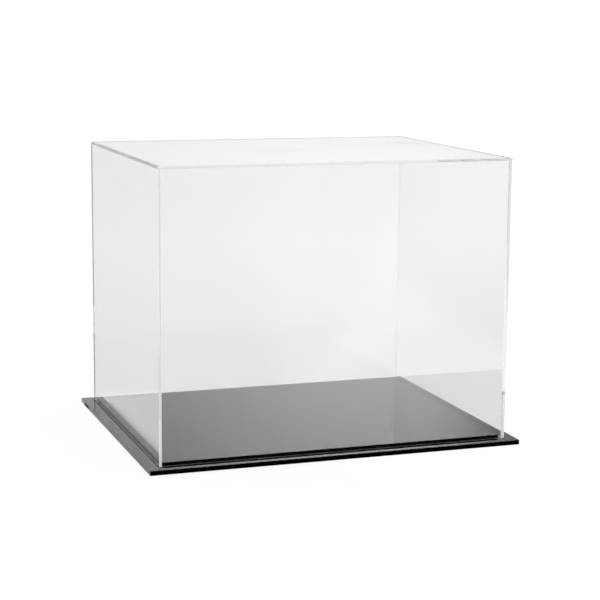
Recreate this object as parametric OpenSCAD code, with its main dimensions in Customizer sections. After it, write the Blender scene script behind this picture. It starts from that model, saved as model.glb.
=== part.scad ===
// Display case for a football: a clear lift-off cover on a two-tier gloss-black base.
// The base is two flat sheets glued one on the other, on four rubber feet. The cover is five
// flat sheets with butt joints, and it drops over the upper tier of the base.
// The origin is on the ground under the middle of the case. +X is to the right, the front
// faces -Y and +Z is up.

/* [Cover] */
// Outside width of the cover
cover_w = 380; // [320:5:480]
// Outside depth of the cover, front to back
cover_d = 300; // [260:5:400]
// Height of the cover's top face above the lower tier
cover_h = 300; // [260:5:400]
// Thickness of the clear sheet
pane_t = 3; // [2:0.5:6]
// Air gap under the cover's lower rim, because two flat sheets touch at a few high spots only
rim_gap = 0.05; // [0.02:0.01:0.2]

/* [Base] */
// Thickness of the lower tier
base_t = 5; // [3:0.5:10]
// How far the lower tier stands out past the cover on every side
base_margin = 12.5; // [6:0.5:30]
// Thickness of the upper tier, which the ball stands on
plinth_t = 3; // [2:0.5:8]
// Gap between the edge of the upper tier and the inside of the cover
plinth_gap = 2; // [0.5:0.5:4]
// Corner radius of both black tiers
corner_r = 1; // [0.75:0.25:4]

/* [Finish] */
// Width of the chamfer on the edges of both black tiers
tier_ease = 0.3; // [0.1:0.1:0.5]
// Width of the chamfer on the cover's outer edges, which are only just broken
cover_ease = 0.1; // [0.05:0.05:0.3]

/* [Feet] */
// Diameter of a rubber foot
foot_d = 16; // [10:1:24]
// Height of a rubber foot
foot_h = 2.5; // [1.5:0.5:6]
// Radius of the rounded lower rim of a foot
foot_rim_r = 1; // [0.5:0.25:1.25]
// Distance from the edges of the lower tier to the middle of a foot
foot_inset = 24; // [16:1:60]

/* [Hidden] */

base_w = cover_w + 2 * base_margin;
base_d = cover_d + 2 * base_margin;
plinth_w = cover_w - 2 * (pane_t + plinth_gap);
plinth_d = cover_d - 2 * (pane_t + plinth_gap);

// Height of the lower tier's top face, where the cover and the upper tier both stand
deck_z = foot_h + base_t;
// Height of the walls' upper edges above the lower tier
wall_top = cover_h - pane_t;
inner_w = cover_w - 2 * pane_t;

foot_x = base_w / 2 - foot_inset;
foot_y = base_d / 2 - foot_inset;

LEFT = -1;
RIGHT = 1;
FRONT = -1;
BACK = 1;

black_acrylic = [0.03, 0.03, 0.035];
black_rubber = [0.06, 0.06, 0.06];
clear_acrylic = [0.85, 0.9, 0.92, 0.3];

$fn = 64;

// Rectangle centred on the origin with its four corners cut at 45 degrees, e along each side
module eased_rectangle(width, height, e) {
    x = width / 2;
    y = height / 2;
    polygon([
        [x - e, -y], [x, e - y], [x, y - e], [x - e, y],
        [e - x, y], [-x, y - e], [-x, e - y], [e - x, -y]
    ]);
}

// Box centred on the origin with a chamfer along each of its twelve edges
module eased_box(width, depth, height, e) {
    intersection() {
        linear_extrude(height, center = true)
            eased_rectangle(width, depth, e);
        rotate([90, 0, 0])
            linear_extrude(depth, center = true)
                eased_rectangle(width, height, e);
        rotate([90, 0, 90])
            linear_extrude(width, center = true)
                eased_rectangle(depth, height, e);
    }
}

// Flat sheet lying on z = 0, with rounded corners and chamfered upper and lower edges
module eased_sheet(width, depth, thickness) {
    x = width / 2 - corner_r;
    y = depth / 2 - corner_r;
    translate([0, 0, thickness / 2]) {
        rotate([90, 0, 0])
            linear_extrude(2 * y, center = true)
                eased_rectangle(width, thickness, tier_ease);
        rotate([90, 0, 90])
            linear_extrude(2 * x, center = true)
                eased_rectangle(depth, thickness, tier_ease);
        for (sx = [-1, 1], sy = [-1, 1])
            translate([sx * x, sy * y, 0])
                rotate_extrude()
                    intersection() {
                        eased_rectangle(2 * corner_r, thickness, tier_ease);
                        translate([0, -thickness / 2])
                            square([corner_r, thickness]);
                    }
    }
}

module base_plate() {
    color(black_acrylic)
        translate([0, 0, foot_h])
            eased_sheet(base_w, base_d, base_t);
}

module plinth_plate() {
    color(black_acrylic)
        translate([0, 0, deck_z])
            eased_sheet(plinth_w, plinth_d, plinth_t);
}

// Round foot under one corner of the base, with a flat top and a rounded lower rim
module foot(side_x, side_y) {
    core_r = foot_d / 2 - foot_rim_r;
    color(black_rubber)
        translate([side_x * foot_x, side_y * foot_y, 0])
            rotate_extrude() {
                square([core_r, foot_h]);
                translate([0, foot_rim_r])
                    square([foot_d / 2, foot_h - foot_rim_r]);
                intersection() {
                    translate([core_r, foot_rim_r])
                        circle(foot_rim_r);
                    square([foot_d / 2, foot_h]);
                }
            }
}

module front_left_foot() foot(LEFT, FRONT);
module front_right_foot() foot(RIGHT, FRONT);
module back_left_foot() foot(LEFT, BACK);
module back_right_foot() foot(RIGHT, BACK);

// The part of the cover's finished outside that lies in one of its sheets
module cover_sheet() {
    color(clear_acrylic)
        intersection() {
            translate([0, 0, deck_z + (cover_h + rim_gap) / 2])
                eased_box(cover_w, cover_d, cover_h - rim_gap, cover_ease);
            children();
        }
}

// The top sheet lies over the upper edges of all four walls
module top_panel() {
    cover_sheet()
        translate([-cover_w / 2, -cover_d / 2, deck_z + wall_top])
            cube([cover_w, cover_d, pane_t]);
}

// Front or back wall, which stands between the side walls
module end_wall(side_y) {
    cover_sheet()
        translate([0, side_y * (cover_d - pane_t) / 2, deck_z + wall_top / 2])
            cube([inner_w, pane_t, wall_top], center = true);
}

// Left or right wall, which runs the cover's full depth
module side_wall(side_x) {
    cover_sheet()
        translate([side_x * (cover_w - pane_t) / 2, 0, deck_z + wall_top / 2])
            cube([pane_t, cover_d, wall_top], center = true);
}

module front_panel() end_wall(FRONT);
module back_panel() end_wall(BACK);
module left_panel() side_wall(LEFT);
module right_panel() side_wall(RIGHT);

base_plate();
plinth_plate();
front_left_foot();
front_right_foot();
back_left_foot();
back_right_foot();
top_panel();
front_panel();
back_panel();
left_panel();
right_panel();
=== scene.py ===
"""Looks for the football display case: a clear acrylic cover on a gloss-black acrylic base with
rubber feet, standing on a white table in soft studio light."""

import math

import bpy
from mathutils import Matrix, Vector


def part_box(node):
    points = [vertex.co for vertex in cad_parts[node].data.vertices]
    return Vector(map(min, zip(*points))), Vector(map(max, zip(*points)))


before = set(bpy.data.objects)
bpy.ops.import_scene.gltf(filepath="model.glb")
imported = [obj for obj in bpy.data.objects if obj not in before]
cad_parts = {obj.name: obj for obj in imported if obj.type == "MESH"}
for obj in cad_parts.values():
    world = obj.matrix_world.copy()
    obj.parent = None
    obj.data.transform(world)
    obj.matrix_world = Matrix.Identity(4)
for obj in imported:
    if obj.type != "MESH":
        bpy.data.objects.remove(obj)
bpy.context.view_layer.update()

SCENE = bpy.context.scene
MM = 0.001

# ---------------------------------------------------------------- places, from the frame

TOP_LOW, COVER_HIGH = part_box("top_panel")
PANE_T = COVER_HIGH.z - TOP_LOW.z
INNER_X = COVER_HIGH.x - PANE_T
INNER_Y = COVER_HIGH.y - PANE_T
CEILING_Z = TOP_LOW.z
BASE_LOW, BASE_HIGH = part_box("base_plate")

# ---------------------------------------------------------------- camera

LENS_MM = 99.57
SENSOR_MM = 36.0
CLIP_START = 0.05
CLIP_END = 200.0
CAMERA_AT = Vector((-0.5907, -1.7036, 0.4617))
CAMERA_YAW = math.radians(19.42)  # from +Y towards +X
CAMERA_PITCH = math.radians(10.07)  # below the horizon
CAMERA_ROLL = math.radians(0.55)


def make_camera():
    data = bpy.data.cameras.new("camera")
    data.lens = LENS_MM
    data.sensor_width = SENSOR_MM
    data.clip_start = CLIP_START
    data.clip_end = CLIP_END
    camera = bpy.data.objects.new("camera", data)
    SCENE.collection.objects.link(camera)
    forward = Vector((
        math.sin(CAMERA_YAW) * math.cos(CAMERA_PITCH),
        math.cos(CAMERA_YAW) * math.cos(CAMERA_PITCH),
        -math.sin(CAMERA_PITCH),
    ))
    level_right = Vector((math.cos(CAMERA_YAW), -math.sin(CAMERA_YAW), 0.0))
    level_up = level_right.cross(forward)
    right = math.cos(CAMERA_ROLL) * level_right + math.sin(CAMERA_ROLL) * level_up
    up = right.cross(forward)
    turn = Matrix((right, up, -forward)).transposed()
    camera.matrix_world = Matrix.Translation(CAMERA_AT) @ turn.to_4x4()
    SCENE.camera = camera


# ---------------------------------------------------------------- node helpers

# How many finer layers a noise has, and how strong each one is where that isn't 0.5
GENTLE = (1.0,)
BLOTCHY = (3.0,)
SPECKLED = (3.0, 0.7)
STREAKY = (4.0, 0.6)
SCUFFED = (4.0, 0.65)
NOISE_MIDDLE = 0.5


class Nodes:
    """A short way to add and join the nodes of one shader tree."""

    def __init__(self, tree):
        self.tree = tree
        tree.nodes.clear()

    def add(self, kind, **settings):
        node = self.tree.nodes.new(kind)
        for name, value in settings.items():
            setattr(node, name, value)
        return node

    def put(self, socket, value):
        """Joins an output to the socket, or sets the socket's own value."""
        if isinstance(value, bpy.types.NodeSocket):
            self.tree.links.new(value, socket)
        else:
            socket.default_value = value

    def math(self, operation, *values):
        node = self.add("ShaderNodeMath", operation=operation)
        for socket, value in zip(node.inputs, values):
            self.put(socket, value)
        return node.outputs[0]

    def product(self, *values):
        """The values multiplied together, from the first to the last."""
        result = values[0]
        for value in values[1:]:
            result = self.math("MULTIPLY", result, value)
        return result

    def total(self, *values):
        """The values added together, from the first to the last."""
        result = values[0]
        for value in values[1:]:
            result = self.math("ADD", result, value)
        return result

    def one_minus(self, value):
        return self.math("SUBTRACT", 1.0, value)

    def absolute(self, value):
        """The value without its sign."""
        return self.math("ABSOLUTE", value)

    def smooth(self, value, low, high, out_low=0.0, out_high=1.0):
        """out_low below low, out_high above high, and an eased step between them."""
        node = self.add("ShaderNodeMapRange", interpolation_type="SMOOTHSTEP")
        self.put(node.inputs["Value"], value)
        self.put(node.inputs["From Min"], low)
        self.put(node.inputs["From Max"], high)
        self.put(node.inputs["To Min"], out_low)
        self.put(node.inputs["To Max"], out_high)
        return node.outputs["Result"]

    def mix_color(self, factor, a, b):
        node = self.add("ShaderNodeMix", data_type="RGBA")
        self.put(node.inputs["Factor"], factor)
        self.put(node.inputs["A"], a)
        self.put(node.inputs["B"], b)
        return node.outputs["Result"]

    def mix(self, factor, a, b):
        node = self.add("ShaderNodeMix", data_type="FLOAT")
        self.put(node.inputs["Factor"], factor)
        self.put(node.inputs["A"], a)
        self.put(node.inputs["B"], b)
        return node.outputs["Result"]

    def split(self, vector):
        node = self.add("ShaderNodeSeparateXYZ")
        self.put(node.inputs[0], vector)
        return node.outputs

    def place(self):
        """Where the point is, in the CAD frame at rest, in metres."""
        return self.add("ShaderNodeTexCoord").outputs["Object"]

    def facing(self):
        """The x, y and z of the surface's direction. From inside clear sheet the signs are flipped."""
        return self.split(self.add("ShaderNodeTexCoord").outputs["Normal"])

    def scaled(self, vector, scale):
        node = self.add("ShaderNodeVectorMath", operation="MULTIPLY")
        self.put(node.inputs[0], vector)
        self.put(node.inputs[1], scale)
        return node.outputs[0]

    def noise(self, vector, size, detail=2.0, roughness=0.5):
        """Smooth noise, 0 to 1, whose blobs are about size metres across."""
        node = self.add("ShaderNodeTexNoise")
        self.put(node.inputs["Vector"], vector)
        self.put(node.inputs["Scale"], 1.0 / size)
        self.put(node.inputs["Detail"], detail)
        self.put(node.inputs["Roughness"], roughness)
        return node.outputs["Fac"]

    def bump(self, height, depth, strength=1.0, normal=None):
        """Relief that is depth metres from height 0 to height 1."""
        node = self.add("ShaderNodeBump")
        self.put(node.inputs["Height"], height)
        self.put(node.inputs["Distance"], depth)
        self.put(node.inputs["Strength"], strength)
        if normal is not None:
            self.put(node.inputs["Normal"], normal)
        return node.outputs["Normal"]


def new_material(name):
    material = bpy.data.materials.new(name)
    material.use_nodes = True
    n = Nodes(material.node_tree)
    shader = n.add("ShaderNodeBsdfPrincipled")
    out = n.add("ShaderNodeOutputMaterial")
    n.put(out.inputs["Surface"], shader.outputs[0])
    return material, n, shader


def degrees(*values):
    return tuple(math.radians(value) for value in values)


# ---------------------------------------------------------------- backdrop
#
# Azimuth is measured from +Y towards +X, and rise from the horizon. A span is where something
# starts and stops changing. Its levels are what it changes from and to, or 0 and 1 if it has none.

FALL = (1.0, 0.0)  # levels of what fades out over its span

SKY_SPAN = degrees(10.0, 80.0)
SKY_LEVELS = (0.87, 0.55)
LOW_SKY_SPAN = degrees(10.0, 18.0)
LOW_SKY_LEVELS = (0.10, 0.0)
HORIZON_SPAN = degrees(0.8, 4.0)
HORIZON_LEVELS = (0.16, 0.0)
DIP_START_SPAN = degrees(1.0, 4.0)
DIP_END_SPAN = degrees(6.0, 12.0)
DIP_END_LEVELS = (0.12, 0.0)

SOFT_LIGHT_LEFT = degrees(11.0, 22.0)
SOFT_LIGHT_RIGHT = degrees(23.5, 27.0)
SOFT_LIGHT_FOOT = degrees(3.0, 12.0)
SOFT_LIGHT_HEAD = degrees(20.0, 60.0)
SOFT_LIGHT_GAIN = 0.67

DIM_LEFT = degrees(25.0, 27.2)
DIM_LEFT_LEVELS = (0.0, 0.42)
DIM_RIGHT = degrees(45.0, 80.0)
DIM_FOOT = degrees(4.0, 9.0)

SECOND_MIRROR = (1.0, 2.0)  # reflections on the light's way
FRONT_SKY = (-0.5, 0.0)  # y of the direction

SKY_TINT_SPAN = degrees(19.0, 25.0)
SKY_COOL = (0.995, 0.995, 1.005, 1.0)
SKY_WARM = (1.0, 1.003, 0.972, 1.0)


def make_world():
    """A pale backdrop all round, with one broad soft light behind the case on the right.

    The backdrop is dimmer to the right of that light. Its front is black to light that was
    mirrored twice or more.
    """
    world = bpy.data.worlds.new("studio")
    SCENE.world = world
    world.use_nodes = True
    n = Nodes(world.node_tree)
    x, y, z = n.split(n.add("ShaderNodeTexCoord").outputs["Generated"])
    azimuth = n.math("ARCTAN2", x, y)
    rise = n.math("ARCSINE", z)

    across = n.product(n.smooth(azimuth, *SOFT_LIGHT_LEFT),
                       n.smooth(azimuth, *SOFT_LIGHT_RIGHT, *FALL))
    upward = n.product(n.smooth(rise, *SOFT_LIGHT_FOOT),
                       n.smooth(rise, *SOFT_LIGHT_HEAD, *FALL))
    soft_light = n.product(across, upward, SOFT_LIGHT_GAIN)
    low_sky = n.smooth(rise, *LOW_SKY_SPAN, *LOW_SKY_LEVELS)
    sky = n.smooth(rise, *SKY_SPAN, *SKY_LEVELS)
    horizon = n.smooth(rise, *HORIZON_SPAN, *HORIZON_LEVELS)
    dip = n.product(n.smooth(rise, *DIP_START_SPAN), n.smooth(rise, *DIP_END_SPAN, *DIP_END_LEVELS))
    level = n.math("SUBTRACT", n.total(low_sky, sky, horizon, soft_light), dip)

    dim = n.product(n.smooth(azimuth, *DIM_LEFT, *DIM_LEFT_LEVELS),
                    n.smooth(azimuth, *DIM_RIGHT, *FALL),
                    n.smooth(rise, *DIM_FOOT))
    mirrors = n.add("ShaderNodeLightPath").outputs["Glossy Depth"]
    black_front = n.product(n.smooth(mirrors, *SECOND_MIRROR), n.smooth(y, *FRONT_SKY, *FALL))
    level = n.product(level, n.one_minus(dim), n.one_minus(black_front))

    background = n.add("ShaderNodeBackground")
    tint = n.mix_color(n.smooth(azimuth, *SKY_TINT_SPAN), SKY_COOL, SKY_WARM)
    n.put(background.inputs["Color"], tint)
    n.put(background.inputs["Strength"], level)
    out = n.add("ShaderNodeOutputWorld")
    n.put(out.inputs["Surface"], background.outputs[0])


# ---------------------------------------------------------------- table

TABLE_HALF = 60.0
TABLE_LEVEL = 0.93
TABLE_ALBEDO = (0.12, 0.12, 0.12, 1.0)
BLACK = (0.0, 0.0, 0.0, 1.0)

SIDE_GLOW_SPAN = degrees(10.0, 22.0)
SIDE_GLOW_LEVELS = (0.0, 0.06)
SIDE_CREST_SPAN = degrees(24.0, 28.0)
SIDE_CREST_LEVELS = (0.0, 0.03)
SIDE_FADE_SPAN = degrees(30.0, 45.0)
SIDE_FADE_LEVELS = (1.0, 0.4)
FAR_GLOW_SPAN = (0.2, 1.6)  # metres from the middle of the case
FAR_GLOW_LEVELS = (0.0, 0.05)

FRONT_EDGE = (0.0, 0.01)  # metres ahead of the base
FRONT_END = (2.0, 9.0)  # metres ahead of the base
FRONT_SPREAD = (0.6, 2.2)  # metres aside for each metre ahead
SPREAD_START = 0.02  # metres added to those ahead, so that the spread is finite at the base
MANY_PANES = (2.5, 3.5)  # sheet surfaces on the light's way
PARTLY_LIT_SPAN = (0.0, 0.2)  # metres ahead of the base
PARTLY_LIT_FADE = (0.6, 2.0)  # metres ahead of the base
PARTLY_LIT_LEVELS = (0.5, 0.1)

BESIDE_SPAN = (BASE_LOW.x - 0.016, BASE_LOW.x - 0.006)
BESIDE_LEVELS = (0.0, 0.3)
FAR_LEFT_SPAN = degrees(-14.0, -1.0)
FAR_LEFT_LEVELS = (0.31, 0.0)
BEHIND_SPAN = (BASE_HIGH.y, BASE_HIGH.y + 0.06)

TABLE_TINT_SPAN = degrees(13.0, 26.0)
TABLE_COOL = (1.0, 1.0, 1.004, 1.0)
TABLE_WARM = (1.005, 1.0, 0.98, 1.0)


def mirror_shade(n, x, y, azimuth):
    """How much darker the table is in a mirror than to the camera, from 0 to 1.

    The floor ahead of the base is black, and partly lit for light that came through several panes.
    Behind the base the left is dimmer. Level with the base the floor is dimmer from just left of
    it all the way to the right.
    """
    path = n.add("ShaderNodeLightPath").outputs
    mirrored = n.math("MINIMUM", path["Glossy Depth"], 1.0)

    ahead = n.math("SUBTRACT", BASE_LOW.y, y)
    aside = n.math("SUBTRACT", n.absolute(x), BASE_HIGH.x)
    spread = n.math("DIVIDE", aside, n.math("ADD", n.math("MAXIMUM", ahead, 0.0), SPREAD_START))
    many_panes = n.smooth(path["Transmission Depth"], *MANY_PANES)
    partly_lit = n.product(n.smooth(ahead, *PARTLY_LIT_SPAN),
                           n.smooth(ahead, *PARTLY_LIT_FADE, *PARTLY_LIT_LEVELS))
    front = n.product(n.smooth(ahead, *FRONT_EDGE),
                      n.smooth(spread, *FRONT_SPREAD, *FALL),
                      n.smooth(ahead, *FRONT_END, *FALL),
                      n.one_minus(n.product(many_panes, partly_lit)))

    beside = n.product(n.smooth(x, *BESIDE_SPAN, *BESIDE_LEVELS),
                       n.math("LESS_THAN", n.absolute(y), BASE_HIGH.y))
    far_left = n.product(n.smooth(azimuth, *FAR_LEFT_SPAN, *FAR_LEFT_LEVELS),
                         n.smooth(y, *BEHIND_SPAN))
    darkest = n.math("MAXIMUM", n.math("MAXIMUM", front, beside), far_left)
    return n.product(mirrored, darkest)


def make_table():
    """A white table top that glows: painted light makes it brighter towards the soft light and away
    from the case, and painted shade darkens it in mirrors.
    """
    mesh = bpy.data.meshes.new("table")
    h = TABLE_HALF
    mesh.from_pydata([(-h, -h, 0), (h, -h, 0), (h, h, 0), (-h, h, 0)], [], [(0, 1, 2, 3)])
    table = bpy.data.objects.new("table", mesh)
    SCENE.collection.objects.link(table)

    material = bpy.data.materials.new("table_white")
    material.use_nodes = True
    n = Nodes(material.node_tree)
    x, y = n.split(n.place())[:2]
    azimuth = n.math("ARCTAN2", x, y)
    # Painted light: the table's own glow rises towards the soft light and away from the case
    side_glow = n.product(n.total(n.smooth(azimuth, *SIDE_GLOW_SPAN, *SIDE_GLOW_LEVELS),
                                  n.smooth(azimuth, *SIDE_CREST_SPAN, *SIDE_CREST_LEVELS)),
                          n.smooth(azimuth, *SIDE_FADE_SPAN, *SIDE_FADE_LEVELS))
    distance = n.math("SQRT", n.total(n.product(x, x), n.product(y, y)))
    far_glow = n.smooth(distance, *FAR_GLOW_SPAN, *FAR_GLOW_LEVELS)
    level = n.total(side_glow, far_glow, TABLE_LEVEL)
    lit = n.one_minus(mirror_shade(n, x, y, azimuth))

    emission = n.add("ShaderNodeEmission")
    tint = n.mix_color(n.smooth(azimuth, *TABLE_TINT_SPAN), TABLE_COOL, TABLE_WARM)
    n.put(emission.inputs["Color"], tint)
    n.put(emission.inputs["Strength"], n.product(level, lit))
    paper = n.add("ShaderNodeBsdfDiffuse")
    n.put(paper.inputs["Color"], n.mix_color(lit, BLACK, TABLE_ALBEDO))
    both = n.add("ShaderNodeAddShader")
    n.put(both.inputs[0], emission.outputs[0])
    n.put(both.inputs[1], paper.outputs[0])
    out = n.add("ShaderNodeOutputMaterial")
    n.put(out.inputs["Surface"], both.outputs[0])
    mesh.materials.append(material)


# ---------------------------------------------------------------- clear acrylic

ACRYLIC_IOR = 1.49
SEAM_TOLERANCE = 0.01 * MM
FLAT = 0.9  # a face square to an axis has at least this much of its direction along it
UPRIGHT = 0.5  # an upright face has less than this of its direction along Z

FACE_TINT_SIZE = 90.0 * MM
FACE_TINTS = ((0.949, 0.952, 0.952, 1.0), (0.957, 0.958, 0.957, 1.0))
EDGE_TINT = (0.985, 0.99, 0.99, 1.0)
SMEAR_SIZE = 30.0 * MM
SMEAR_STRETCH = (1.0, 1.0, 0.35)  # smears are longer upward than across
SMEAR_SPAN = (0.56, 0.78)
SMEAR_ROUGHNESS = (0.0, 0.008)
SAW_SIZE = 0.7 * MM
SAW_ROUGHNESS = (0.0, 0.025)
SAW_DEPTH = 0.001 * MM
SHEET_WAVE_SIZE = 140.0 * MM
SHEET_WAVE_DEPTH = 0.08 * MM


def seam_mask(n, place):
    """1 on the hidden faces where two sheets are cemented, for light to pass from one to the next."""
    x, y, z = n.split(place)
    across = n.absolute(x)
    along = n.absolute(y)
    past_x = n.math("GREATER_THAN", across, INNER_X + SEAM_TOLERANCE)
    past_y = n.math("GREATER_THAN", along, INNER_Y + SEAM_TOLERANCE)
    at_ceiling = n.math("COMPARE", z, CEILING_Z, SEAM_TOLERANCE)
    at_wall = n.math("COMPARE", across, INNER_X, SEAM_TOLERANCE)
    below = n.math("LESS_THAN", z, CEILING_Z)
    under_top = n.product(at_ceiling, n.math("MAXIMUM", past_x, past_y))
    corner = n.product(at_wall, past_y, below)
    return n.math("MAXIMUM", under_top, corner)


def cut_edge_mask(n, axis):
    """1 on the sawn edges of a sheet whose broad faces are square to the axis, 0 on those faces."""
    return n.math("LESS_THAN", n.absolute(n.facing()["XYZ".index(axis)]), FLAT)


def clear_acrylic(name, axis, near_frost, far_frost, rim_frost):
    """Clear sheet, square to the axis: polished faces with faint haze and waviness, satin cut edges.

    The frosts are how much of the light the cut edges scatter. Rim is for the edges that face up
    or down. Of the upright edges, far is for those at the back wall and near for all the others.
    """
    material, n, shader = new_material("clear_acrylic_" + name)
    place = n.place()
    edge = cut_edge_mask(n, axis)

    face_tint = n.mix_color(n.noise(place, FACE_TINT_SIZE, *BLOTCHY), *FACE_TINTS)
    n.put(shader.inputs["Base Color"], n.mix_color(edge, face_tint, EDGE_TINT))

    wiped = n.noise(n.scaled(place, SMEAR_STRETCH), SMEAR_SIZE, *STREAKY)
    smear = n.smooth(wiped, *SMEAR_SPAN, *SMEAR_ROUGHNESS)
    saw = n.noise(place, SAW_SIZE)
    n.put(shader.inputs["Roughness"], n.mix(edge, smear, n.mix(saw, *SAW_ROUGHNESS)))

    upright = n.math("LESS_THAN", n.absolute(n.facing()[2]), UPRIGHT)
    far = n.math("GREATER_THAN", n.split(place)[1], INNER_Y)
    scatter = n.product(edge, n.mix(upright, rim_frost, n.mix(far, near_frost, far_frost)))
    n.put(shader.inputs["Transmission Weight"], n.one_minus(scatter))
    n.put(shader.inputs["Alpha"], n.one_minus(seam_mask(n, place)))
    shader.inputs["IOR"].default_value = ACRYLIC_IOR

    waviness = n.bump(n.noise(place, SHEET_WAVE_SIZE, *GENTLE), SHEET_WAVE_DEPTH)
    n.put(shader.inputs["Normal"], n.bump(saw, SAW_DEPTH, edge, waviness))
    return material


# ---------------------------------------------------------------- black acrylic

JET_BLACK = (0.001, 0.001, 0.001, 1.0)
DUST_GREY = (0.55, 0.54, 0.52, 1.0)
SPECK_SIZE = 1.5 * MM
SPECK_SPAN = (0.5, 0.75)
FILM_SIZE = 50.0 * MM
LYING_SPAN = (0.8, 0.95)  # dust lies where this much of the surface's direction is upward
DUST_ROUGHNESS = 0.4  # what full dust adds to the roughness

WIPE_SIZE = 12.0 * MM
WIPE_STRETCH = (0.3, 1.0, 1.0)  # wipe marks are longer along X than along Y
WIPE_SPAN = (0.3, 0.8)
WIPE_ROUGHNESS = (0.012, 0.035)
CHAMFER_FACING = (0.2, 0.9)  # how much of its direction is along Z, either way
WORN_SIZE = 2.0 * MM
WORN_ROUGHNESS = (0.08, 0.3)
TIER_WAVE_SIZE = 120.0 * MM
TIER_WAVE_DEPTH = 0.015 * MM

# Painted shade: rough lines on the deck either side of the cover's wall, darker in reflection,
# standing in for the shade at the wall's foot
WALL_FOOT_SHADE_OFFSET = 0.6 * MM  # from the cover's wall to the middle of the line beside it
WALL_FOOT_SHADE_HALF = 0.7 * MM
WALL_FOOT_SHADE_ROUGHNESS = 0.85

NICK_AT_Y = 133.0 * MM  # middle of the dark nick on the base's left edge
NICK_HALF = 11.0 * MM  # half its length
NICK_HIGH = 4.2 * MM  # its upper edge, above the underside of the base
NICK_END = 2.0 * MM  # the length over which each end fades out
NICK_RAGGED = 3.0 * MM  # how far the upper edge wanders, and over what length
NICK_FADE = 0.4 * MM  # the height over which the upper edge fades out
NICK_DEPTH = 1.0 * MM  # from the base's left edge
NICK_ROUGHNESS = 0.9


def nick_mask(n, place):
    """1 on a short ragged nick, low on the left edge of the base near its back corner."""
    x, y, z = n.split(place)
    uneven = n.math("SUBTRACT", n.noise(place, NICK_RAGGED, *BLOTCHY), NOISE_MIDDLE)
    ragged = n.product(uneven, NICK_RAGGED)
    along = n.absolute(n.math("SUBTRACT", y, NICK_AT_Y))
    ends = n.smooth(along, NICK_HALF - NICK_END, NICK_HALF, *FALL)
    below = n.math("SUBTRACT", n.math("ADD", BASE_LOW.z + NICK_HIGH, ragged), z)
    return n.product(ends, n.smooth(below, 0.0, NICK_FADE),
                     n.math("LESS_THAN", x, BASE_LOW.x + NICK_DEPTH))


def wall_foot_shade_mask(n, place, up):
    """1 along both sides of the line where the cover's rim stands on the base: dulled lines of painted
    shade, for the shade and dark reflection at the wall's foot.
    """
    x, y = n.split(place)[:2]
    out_of_cover = n.math("MAXIMUM", n.math("SUBTRACT", n.absolute(x), COVER_HIGH.x),
                          n.math("SUBTRACT", n.absolute(y), COVER_HIGH.y))
    outer = n.math("COMPARE", out_of_cover, WALL_FOOT_SHADE_OFFSET, WALL_FOOT_SHADE_HALF)
    inner = n.math("COMPARE", out_of_cover, -PANE_T - WALL_FOOT_SHADE_OFFSET, WALL_FOOT_SHADE_HALF)
    return n.product(n.math("MAXIMUM", outer, inner), n.math("GREATER_THAN", up, FLAT))


def black_acrylic(name, dust, painted_line_shade=0.0):
    """Gloss-black sheet: mirror finish with faint wipe marks, a little dust and dulled edges, with
    dulled lines of painted shade along the cover's wall where asked.
    """
    material, n, shader = new_material("black_acrylic_" + name)
    place = n.place()
    up = n.facing()[2]

    specks = n.smooth(n.noise(place, SPECK_SIZE, *SPECKLED), *SPECK_SPAN)
    film = n.noise(place, FILM_SIZE, *BLOTCHY)
    dirt = n.product(specks, film, n.smooth(up, *LYING_SPAN, 0.0, dust))
    n.put(shader.inputs["Base Color"], n.mix_color(dirt, JET_BLACK, DUST_GREY))

    wipe = n.noise(n.scaled(place, WIPE_STRETCH), WIPE_SIZE, *STREAKY)
    polish = n.smooth(wipe, *WIPE_SPAN, *WIPE_ROUGHNESS)
    tilt_low, tilt_high = CHAMFER_FACING
    chamfer = n.product(n.math("GREATER_THAN", n.absolute(up), tilt_low),
                        n.math("LESS_THAN", n.absolute(up), tilt_high))
    worn = n.mix(n.noise(place, WORN_SIZE, *BLOTCHY), *WORN_ROUGHNESS)
    sheet = n.mix(chamfer, n.total(polish, n.product(dirt, DUST_ROUGHNESS)), worn)
    # Painted shade: rough lines beside the cover's wall darken the deck's reflection there
    sheet = n.mix(n.product(wall_foot_shade_mask(n, place, up), painted_line_shade), sheet, WALL_FOOT_SHADE_ROUGHNESS)
    n.put(shader.inputs["Roughness"], n.mix(nick_mask(n, place), sheet, NICK_ROUGHNESS))
    shader.inputs["IOR"].default_value = ACRYLIC_IOR

    n.put(shader.inputs["Normal"], n.bump(n.noise(place, TIER_WAVE_SIZE, *GENTLE), TIER_WAVE_DEPTH))
    return material


# ---------------------------------------------------------------- black rubber

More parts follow.
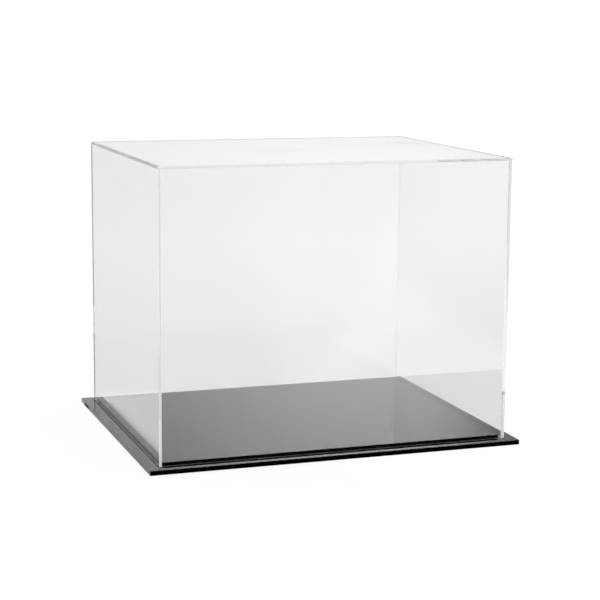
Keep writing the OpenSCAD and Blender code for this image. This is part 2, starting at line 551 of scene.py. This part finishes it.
RUBBER_IOR = 1.5
RUBBER_BLACK = (0.012, 0.012, 0.012, 1.0)
SCUFF_GREY = (0.05, 0.049, 0.047, 1.0)
SCUFF_SIZE = 3.0 * MM
SCUFF_SPAN = (0.5, 0.8)
SCUFF_ROUGHNESS = (0.62, 0.85)
PEBBLE_SIZE = 0.5 * MM
PEBBLE_DEPTH = 0.04 * MM


def black_rubber():
    """Moulded rubber: matt, finely pebbled, a little grey where it is scuffed."""
    material, n, shader = new_material("black_rubber")
    place = n.place()
    scuff = n.smooth(n.noise(place, SCUFF_SIZE, *SCUFFED), *SCUFF_SPAN)
    n.put(shader.inputs["Base Color"], n.mix_color(scuff, RUBBER_BLACK, SCUFF_GREY))
    n.put(shader.inputs["Roughness"], n.mix(scuff, *SCUFF_ROUGHNESS))
    shader.inputs["IOR"].default_value = RUBBER_IOR
    n.put(shader.inputs["Normal"], n.bump(n.noise(place, PEBBLE_SIZE), PEBBLE_DEPTH))
    return material


# ---------------------------------------------------------------- build

LIGHT_BOUNCES = 256


def dress(node, material):
    """Gives a CAD node one material."""
    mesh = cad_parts[node].data
    mesh.materials.clear()
    mesh.materials.append(material)


make_camera()
make_world()
make_table()

dress("top_panel", clear_acrylic("top", "Z", near_frost=0.38, far_frost=0.25, rim_frost=0.0))
dress("left_panel", clear_acrylic("left", "X", near_frost=0.45, far_frost=0.15, rim_frost=0.3))
dress("right_panel", clear_acrylic("right", "X", near_frost=0.45, far_frost=0.03, rim_frost=0.3))
end_sheet = clear_acrylic("end", "Y", near_frost=0.1, far_frost=0.1, rim_frost=0.4)
for end in ("front", "back"):
    dress(end + "_panel", end_sheet)
dress("base_plate", black_acrylic("base", dust=0.5, painted_line_shade=1.0))
dress("plinth_plate", black_acrylic("plinth", dust=0.01))
rubber = black_rubber()
for end in ("front", "back"):
    for side in ("left", "right"):
        dress(end + "_" + side + "_foot", rubber)

# Light crosses a sheet many times on its way from one cut edge to the other
SCENE.cycles.max_bounces = LIGHT_BOUNCES
SCENE.cycles.glossy_bounces = LIGHT_BOUNCES
SCENE.cycles.transmission_bounces = LIGHT_BOUNCES
SCENE.cycles.transparent_max_bounces = LIGHT_BOUNCES
SCENE.view_settings.view_transform = "Standard"
